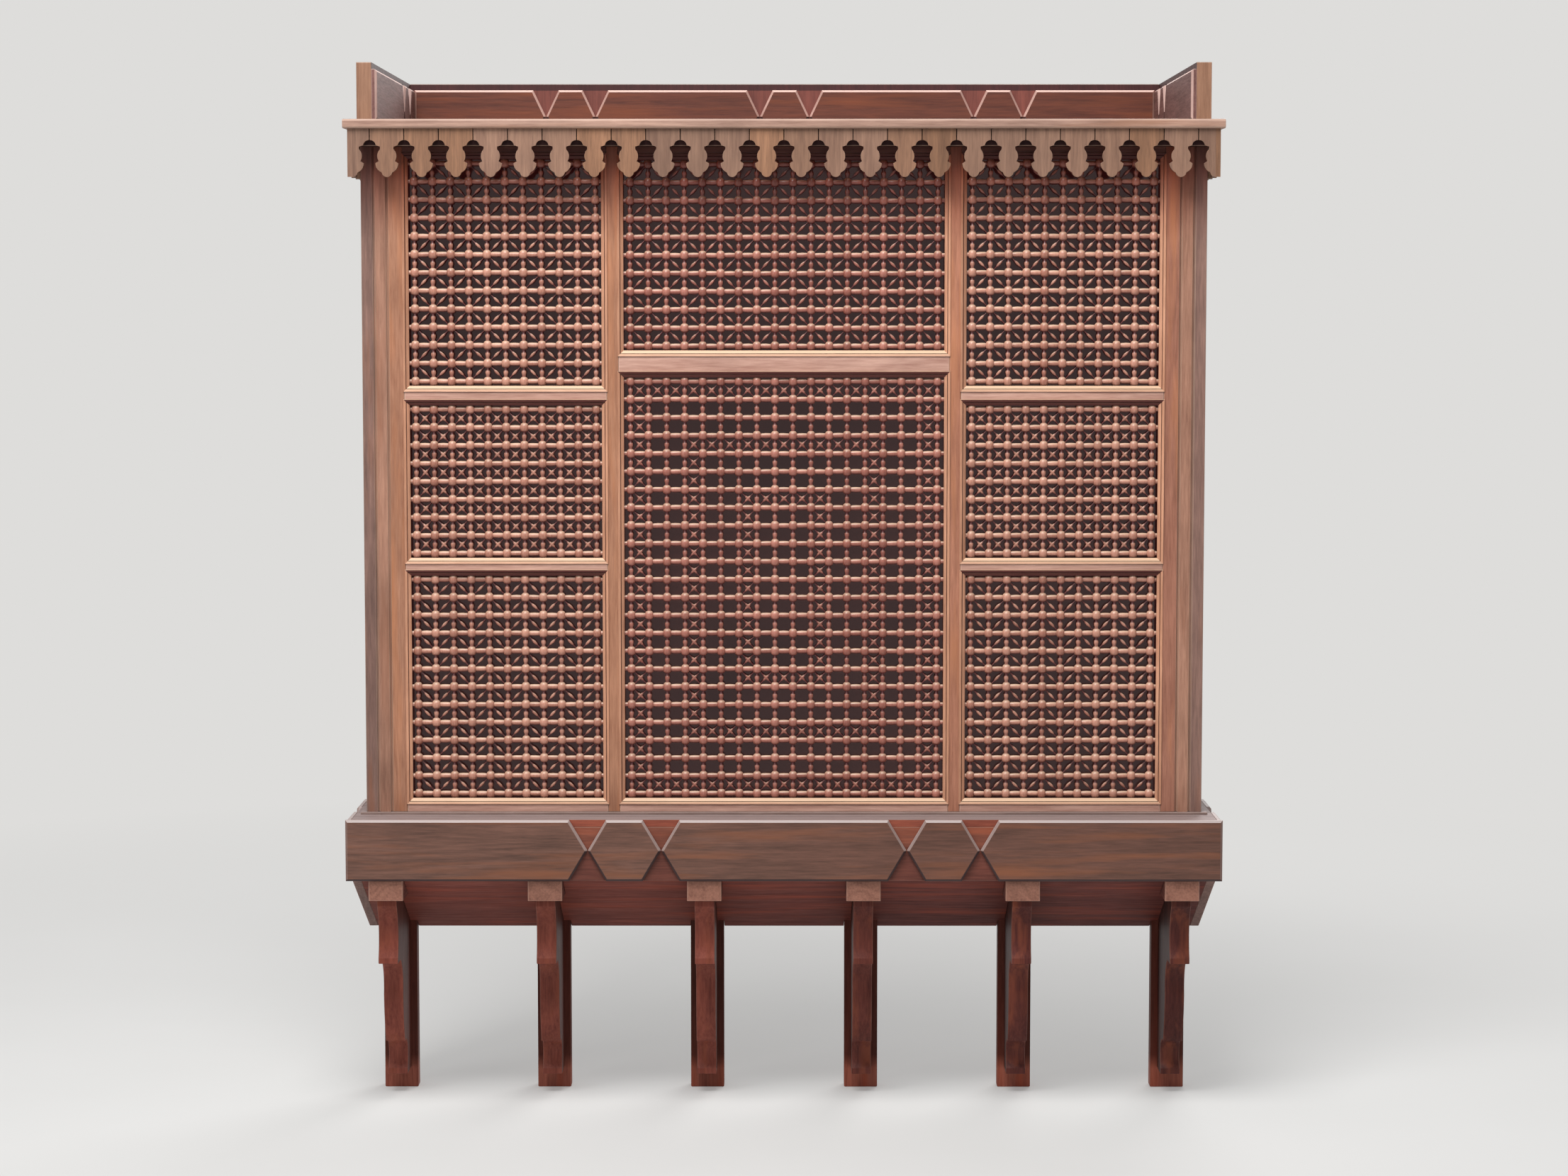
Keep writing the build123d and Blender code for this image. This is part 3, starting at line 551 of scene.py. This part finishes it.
def panel_parts(width, height, columns, rows, pattern):
    """Every piece of one panel about its middle: rods, links, sticks and battens."""
    lines_across = (np.arange(columns + 1) - columns / 2) * pitch
    lines_up = (np.arange(rows + 1) - rows / 2) * pitch
    neck = bead_turning[0][1]
    rod_end = height / 2 - batten / 2
    rod = [(-rod_end, neck, rod_end_shade_and_grime)]
    for index, level in enumerate(lines_up):
        if index:
            rod += [(level - pitch / 2 + rise, radius, shade_and_grime) for rise, radius, shade_and_grime in small_turning]
        rod += [(level + rise, radius, shade_and_grime) for rise, radius, shade_and_grime in bead_turning]
    rod += [(rod_end, neck, rod_end_shade_and_grime)]
    rod_places = np.array([(x, 0.0) for x in lines_across])
    parts = [copies(turned(rod, rod_sides), rod_places, np.zeros(columns + 1))]

    gaps_across = (lines_across[1:] + lines_across[:-1]) / 2
    gaps_up = (lines_up[1:] + lines_up[:-1]) / 2
    link_places = np.array([(x, z) for z in lines_up for x in gaps_across])
    link_places = link_places + chance.normal(0, glue_slip, link_places.shape)
    link_tilts = np.pi / 2 + chance.normal(0, link_sway, len(link_places))
    parts.append(copies(turned(link_turning, link_sides), link_places, link_tilts))

    reach = (width / 2 - batten / 2 - lines_across[-1]) / 2
    stub = turned([(-reach, *stub_neck), (0.0, *stub_middle), (reach, *stub_neck)], link_sides)
    stub_places = np.array([(way * (lines_across[-1] + reach), z) for z in lines_up for way in (-1, 1)])
    parts.append(copies(stub, stub_places, np.full(len(stub_places), np.pi / 2)))

    sticks = [(x, z, tilt) for column, x in enumerate(gaps_across) for row, z in enumerate(gaps_up)
              for tilt in pattern(column, rows - 1 - row)]
    stick_places = np.array([(x, z) for x, z, tilt in sticks])
    stick_tilts = np.array([tilt for x, z, tilt in sticks]) * np.pi / 4
    stick_tilts = stick_tilts + chance.normal(0, stick_sway, len(sticks))
    parts.append(copies(turned(stick_turning, stick_sides), stick_places, stick_tilts))

    inner_width = width / 2 - batten
    inner_height = height / 2 - batten
    for way in (-1, 1):
        edge = sorted([way * inner_width, way * width / 2])
        parts.append(batten_box(*edge, -height / 2, height / 2))
        edge = sorted([way * inner_height, way * height / 2])
        parts.append(batten_box(-inner_width, inner_width, *edge))
    return parts


def alternate(column, row):
    """One stick to a cell, turned the other way in the next cell and the next row."""
    return [1] if (column + row) % 2 == 0 else [-1]


def by_column(column, row):
    """One stick to a cell, turned the other way in the next column."""
    return [-1] if column % 2 == 0 else [1]


def crossed(column, row):
    """Two crossed sticks in every cell."""
    return [1, -1]


side_columns, centre_columns, return_columns = 10, 17, 3
side_rows = dict(zip(side_levels, (12, 8, 12)))
centre_rows = {"bottom": 23, "top": 10}
nested_insets = (0, 3, 6)


def nested(column, row):
    """Crossed sticks on three rectangles, one inside the other. The other cells are open."""
    last_column, last_row = centre_columns - 1, centre_rows["bottom"] - 1
    for inset in nested_insets:
        across = inset <= column <= last_column - inset
        upward = inset <= row <= last_row - inset
        on_side = column in (inset, last_column - inset) or row in (inset, last_row - inset)
        if across and upward and on_side:
            return [1, -1]
    return []


def lattice_piece(name, panels, side=None):
    """Joins the panels of one CAD node into one mesh.

    Each panel is (middle, width, height, columns, rows, pattern).
    """
    points, faces, shade_and_grime, tones = [], [], [], []
    total = 0
    for middle, *panel in panels:
        for part_points, part_faces, part_shade_and_grime, part_tone in panel_parts(*panel):
            points.append(turn_out(part_points, side) + np.array(middle))
            faces.append(part_faces + total)
            shade_and_grime.append(part_shade_and_grime)
            tones.append(part_tone)
            total += len(part_points)
    piece = new_piece(name, name, points, faces, tones, shade_and_grime)
    piece.data.shade_smooth()
    piece.data.set_sharp_from_angle(angle=crease)
    piece.data.materials.append(lattice_wood)


behind_mullion = (0.71, 0.69)
thread_stretch = 0.15
thread_scale = 260.0
turned_patch_scale = 9.0
thread_height = 0.0006


def lattice_timber(name, dark, light, painted_highlight, shaded, neck, centre_tint):
    """Turned and oiled hardwood, each rod, link and stick in a tone of its own.

    Where it looks up it takes a painted highlight and underneath painted shade. Its necks hold old oil, and
    painted shadow falls under the large beads; towards the roof it takes painted shade too. The panels of the
    centre column take a darker tint.
    """
    material = bpy.data.materials.new(name)
    material.use_nodes = True
    tree = material.node_tree
    shader = tree.nodes["Principled BSDF"]
    place = put(tree, "TexCoord").outputs["Object"]
    tone = put(tree, "Attribute", attribute_name="tone").outputs["Fac"]
    shade_and_grime = put(tree, "Attribute", attribute_name="shade_and_grime").outputs["Fac"]
    stretched = {0: place, 1: (1, 1, thread_stretch)}
    stretched = put(tree, "VectorMath", stretched, operation="MULTIPLY").outputs[0]
    fibres = put(tree, "TexNoise", {"Vector": stretched, "Scale": thread_scale, "Detail": 3.0}).outputs[0]
    patches = put(tree, "TexNoise", {"Vector": place, "Scale": turned_patch_scale, "Detail": 3.0}).outputs[0]
    added = sums(tree, "MULTIPLY_ADD", tone, 0.5, fibres)
    colour = blend(tree, ramp(tree, added, 0.4, 1.1), srgb(*dark), srgb(*light))
    colour = shade(tree, colour, ramp(tree, patches, 0.3, 0.7, 0.86, 1.1))
    off_centre = sums(tree, "ABSOLUTE", part_of(tree, place, "X"))
    in_centre = ramp(tree, off_centre, *behind_mullion)
    colour = tinted(tree, in_centre, colour, centre_tint)
    upward = part_of(tree, put(tree, "NewGeometry").outputs["Normal"], "Z")
    # Painted light: a highlight on faces that look up, shade on faces that look down.
    colour = blend(tree, ramp(tree, upward, 0.25, 0.85, 0.0, 0.75), colour, srgb(*painted_highlight))
    colour = blend(tree, ramp(tree, upward, -0.35, -0.95, 0.0, 0.85), colour, srgb(*shaded))
    # The necks darken by their shade and grime values: old oil and painted shadow.
    colour = blend(tree, ramp(tree, shade_and_grime, 0.1, 1.0, 0.0, 0.92), colour, srgb(*neck))
    # Painted shade towards the roof.
    low, high, roof_shade_tint = roof_shade
    colour = tinted(tree, ramp(tree, part_of(tree, place, "Z"), low, high), colour, roof_shade_tint)
    tree.links.new(colour, shader.inputs["Base Color"])
    tree.links.new(ramp(tree, fibres, 0.2, 0.8, 0.42, 0.26), shader.inputs["Roughness"])
    bump = put(tree, "Bump", {"Strength": 0.25, "Distance": thread_height, "Height": fibres})
    tree.links.new(bump.outputs[0], shader.inputs["Normal"])
    return material


# The third colour is a painted highlight, the fourth painted shade, the fifth the oil and painted shadow of
# the necks.
lattice_wood = lattice_timber("lattice_timber", (154, 97, 79), (198, 142, 121), (218, 190, 162), (90, 34, 40),
                              (88, 32, 36), (228, 206, 209))
side_patterns = dict(zip(side_levels, (by_column, crossed, alternate)))
centre_patterns = {"bottom": nested, "top": alternate}


def front_panel(name, columns, rows, pattern):
    """A panel of the front, as wide and high as the CAD node that it stands for."""
    low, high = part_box(name)
    middle = ((low.x + high.x) / 2, rod_depth, (low.z + high.z) / 2)
    lattice_piece(name, [(middle, high.x - low.x, high.z - low.z, columns, rows, pattern)])


for side in ("left", "right"):
    for level in side_levels:
        front_panel(f"lattice_{side}_{level}", side_columns, side_rows[level], side_patterns[level])
for level in ("bottom", "top"):
    front_panel(f"lattice_centre_{level}", centre_columns, centre_rows[level], centre_patterns[level])

# Lattice of the returns: the same three panels, three cells wide, edge on to the street. They are turned and
# glued up like those of the front.
for side in ("left", "right"):
    name = f"lattice_return_{side}"
    low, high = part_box(name)
    width = high.y - low.y
    panels = []
    for level in side_levels:
        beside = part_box(f"lattice_{side}_{level}")
        middle = ((low.x + high.x) / 2, (low.y + high.y) / 2, (beside[0].z + beside[1].z) / 2)
        height = beside[1].z - beside[0].z
        panels.append((middle, width, height, return_columns, side_rows[level], side_patterns[level]))
    lattice_piece(name, panels, side)

# Glass: one pane behind each panel, held in the rebate of its frame. Its dark red tint is painted shade, for
# the shaded depth behind the openings, and it has a dusty bloom in places.
glass = bpy.data.materials.new("glass_with_painted_shade")
glass.use_nodes = True
glass_tree = glass.node_tree
pane = glass_tree.nodes["Principled BSDF"]
pane.inputs["IOR"].default_value = 1.45
pane.inputs["Specular IOR Level"].default_value = 0.12
glass_place = put(glass_tree, "TexCoord").outputs["Object"]
smears = put(glass_tree, "TexNoise", {"Vector": glass_place, "Scale": 1.7, "Detail": 5.0}).outputs[0]
bloom_sides = (0.75, 0.5)
bloom_heights = (2.0, 1.2)
off_middle = sums(glass_tree, "ABSOLUTE", part_of(glass_tree, glass_place, "X"))
in_middle = ramp(glass_tree, off_middle, *bloom_sides, 0.4, 1.0)
low_down = ramp(glass_tree, part_of(glass_tree, glass_place, "Z"), *bloom_heights, 0.2, 1.0)
dusty = sums(glass_tree, "MULTIPLY", in_middle, low_down)
bloom = sums(glass_tree, "MULTIPLY", ramp(glass_tree, smears, 0.32, 0.66, 0.1, 0.9), dusty)
# The dark red base colour is painted shade; the paler one is the dusty bloom.
glass_tree.links.new(blend(glass_tree, bloom, srgb(40, 8, 8), srgb(92, 58, 56)), pane.inputs["Base Color"])
glass_tree.links.new(ramp(glass_tree, bloom, 0.0, 1.0, 1.0, 0.5), pane.inputs["Transmission Weight"])
glass_tree.links.new(ramp(glass_tree, smears, 0.35, 0.7, 0.04, 0.22), pane.inputs["Roughness"])
for name in ("front_glass", "side_glass"):
    nodes[name].material_slots[0].material = glass

# Roof edge: an oiled cap moulding on the free edges, a rail below it and a valance of fretted boards nailed
# to the rail. The boards are cut from mixed stock, so each has its own tone.
cap_wood = timber("cap_timber", (134, 102, 88), (180, 145, 128), "X", worn=0.6, worn_tone=(190, 158, 140),
                  grey=0.4, grey_tone=(160, 144, 136), streak=(150, 104, 78), rough=0.5, seed=18.0)
dress(["roof_cap"], cap_wood, arris=0.003)
# Painted shade: the rail behind the fretted boards is coloured nearly black, as it looks in shade through the
# keyholes.
valance_rail_shade_wood = timber("valance_rail_painted_shade", (32, 14, 14), (52, 25, 23), "X", rough=0.6, gloss=0.15,
                           seed=19.0)
dress(["valance_rail"], valance_rail_shade_wood, arris=0.003)
front_valance_step = 0.1404
side_valance_step = 0.137
valance_tones = ((109, 80, 66), (149, 115, 95))
valance_finish = dict(stock=((105, 74, 55), (151, 110, 83)), worn=0.8, worn_tone=(212, 178, 156), rough=0.5,
                      tone_spread=0.16)
valance_wood = timber("valance_timber", *valance_tones, "Z", boards=(front_valance_step, 0, 0), swept="Y",
                      seed=21.0, **valance_finish)
dress(["valance_boards_front"], valance_wood, arris=0.003)
side_valance_boards = (each_side, side_valance_step, 0)
side_valance_wood = timber("side_valance_timber", *valance_tones, "Z", boards=side_valance_boards,
                           start=(0, side_valance_step / 2, 0), swept="X", seed=22.0, **valance_finish)
dress(["valance_boards_left", "valance_boards_right"], side_valance_wood, arris=0.003)

# Roof deck: boards laid side by side on the frame, weathered grey. Behind the wall face they are a balcony
# floor inside the parapet.
roof_board = 0.12
roof_wood = timber("roof_timber", (112, 90, 78), (156, 132, 116), "X", boards=(0, roof_board, 0),
                   joint=("Y", roof_board), worn=0.2, grey=0.8, grey_tone=(152, 140, 130), rough=0.7,
                   seed=23.0)
dress(["roof_deck"], roof_wood, arris=0.002)

# Parapet: two wings and a back board, each a plank core faced on its inner side with pointed boards like the
# sill. The fronts of the wings are paler, and the core is dark red where it shows between the boards.
wing_face = 1.6835
facing_top = 3.197
core_wood = timber("parapet_core_timber", (88, 44, 38), (124, 68, 58), "Z", boards=left_and_right,
                   beyond=("X", wing_face, "Y", (118, 82, 62), (156, 116, 92)), worn=0.5, grey=0.6,
                   rough=0.5, band=(facing_top, (150, 138, 160)), seed=24.0)
dress(["parapet_beams"], core_wood, arris=0.003)
# Painted light on the chamfers of the boards: a highlight where they look up and shade where they look down.
underside_shade, groove_shade = (60, 26, 26), (40, 20, 20)
back_wood = timber("parapet_back_timber", (78, 38, 28), (112, 60, 44), "X", streak=(126, 66, 40), worn=0.9,
                   worn_tone=(190, 150, 138), painted_light=((220, 186, 174), underside_shade, groove_shade), rough=0.5, seed=25.0)
dress(["parapet_boards_back"], back_wood, arris=0.0015)
wing_board_wood = timber("parapet_wing_timber", (88, 54, 50), (126, 88, 82), "Y", worn=0.9,
                         worn_tone=(196, 162, 152), painted_light=((210, 178, 168), underside_shade, groove_shade), rough=0.5,
                         seed=26.0)
dress(["parapet_boards_left", "parapet_boards_right"], wing_board_wood, arris=0.0015)


# Plain pale floor under the feet of the brackets, finished in matt paint. Far from the bay it takes the tone
# of the surroundings.
def seen_rays(tree):
    """1 for what is seen straight, in a gloss or through the glass, and 0 for light that falls on the bay."""
    rays = put(tree, "LightPath")
    mirrored = sums(tree, "MAXIMUM", rays.outputs["Is Camera Ray"], rays.outputs["Is Glossy Ray"])
    return sums(tree, "MAXIMUM", mirrored, rays.outputs["Is Transmission Ray"])


backdrop = srgb(222, 221, 219)
floor_half = 60.0
fade_start, fade_end, fade_near = 2.0, 9.0, 0.3
floor_ends = ((-1, -1), (1, -1), (1, 1), (-1, 1))
floor_corners = [(x * floor_half, y * floor_half, cad_box[0].z) for x, y in floor_ends]
floor_mesh = bpy.data.meshes.new("floor")
floor_mesh.from_pydata(floor_corners, [], [(0, 1, 2, 3)])
floor = bpy.data.objects.new("floor", floor_mesh)
bpy.context.scene.collection.objects.link(floor)
floor_paint = bpy.data.materials.new("floor_paint")
floor_paint.use_nodes = True
floor_tree = floor_paint.node_tree
floor_shader = floor_tree.nodes["Principled BSDF"]
floor_shader.inputs["Roughness"].default_value = 0.85
floor_place = put(floor_tree, "TexCoord").outputs["Object"]
floor_cloud = put(floor_tree, "TexNoise", {"Vector": floor_place, "Scale": 0.8, "Detail": 4.0}).outputs[0]
floor_colour = blend(floor_tree, floor_cloud, srgb(218, 217, 214), srgb(226, 225, 223))
floor_tree.links.new(floor_colour, floor_shader.inputs["Base Color"])
floor_far = put(floor_tree, "VectorMath", {0: floor_place}, operation="LENGTH").outputs["Value"]
floor_fade = ramp(floor_tree, floor_far, fade_start, fade_end, fade_near, 1.0)
floor_fade = sums(floor_tree, "MULTIPLY", floor_fade, seen_rays(floor_tree))
floor_glow = put(floor_tree, "Emission", {"Color": backdrop, "Strength": 1.0}).outputs[0]
floor_mixed = put(floor_tree, "MixShader", {0: floor_fade, 1: floor_shader.outputs[0], 2: floor_glow})
floor_tree.links.new(floor_mixed.outputs[0], floor_tree.nodes["Material Output"].inputs["Surface"])
floor_mesh.materials.append(floor_paint)


# Soft studio light: a large panel above and in front, weaker ones from the left and from behind, and pale
# surroundings.
def light_panel(name, place, target, size, power):
    """One square area light that faces its target."""
    lamp = bpy.data.lights.new(name, "AREA")
    lamp.shape = "SQUARE"
    lamp.size = size
    lamp.energy = power
    holder = bpy.data.objects.new(name, lamp)
    holder.location = place
    holder.rotation_euler = (Vector(target) - Vector(place)).to_track_quat("-Z", "Y").to_euler()
    bpy.context.scene.collection.objects.link(holder)


light_panel("front_top_panel", place=(-1.5, -5.5, 9.5), target=(0, -0.3, 1.2), size=5.0, power=1100)
light_panel("left_panel", place=(-8.0, -7.0, 4.5), target=(0, -0.3, 1.2), size=4.0, power=160)
light_panel("back_panel", place=(3.5, 8.0, 6.5), target=(0, 0.3, 1.0), size=5.0, power=420)
world = bpy.data.worlds.new("surroundings")
bpy.context.scene.world = world
world.use_nodes = True
world_tree = world.node_tree
ambient = world_tree.nodes["Background"]
ambient.inputs["Color"].default_value = (0.93, 0.96, 1.0, 1.0)
ambient.inputs["Strength"].default_value = 0.33
seen_sky = put(world_tree, "Background", {"Color": backdrop, "Strength": 1.0})
sky_shares = {0: seen_rays(world_tree), 1: ambient.outputs[0], 2: seen_sky.outputs[0]}
mixed_sky = put(world_tree, "MixShader", sky_shares)
world_tree.links.new(mixed_sky.outputs[0], world_tree.nodes["World Output"].inputs["Surface"])

# Camera: level with the upper part of the screen, straight in front and far off, as the photograph was taken.
# It looks a little down, at the middle of the bay.
camera_place = Vector((0.025, -14.63, 2.254))
looked_at = Vector((0, -0.3, 1.06))
camera_data = bpy.data.cameras.new("camera")
camera_data.lens = 79.0
camera = bpy.data.objects.new("camera", camera_data)
camera.location = camera_place
camera.rotation_euler = (looked_at - camera_place).to_track_quat("-Z", "Y").to_euler()
bpy.context.scene.collection.objects.link(camera)
bpy.context.scene.camera = camera
bpy.context.scene.view_settings.view_transform = "Standard"
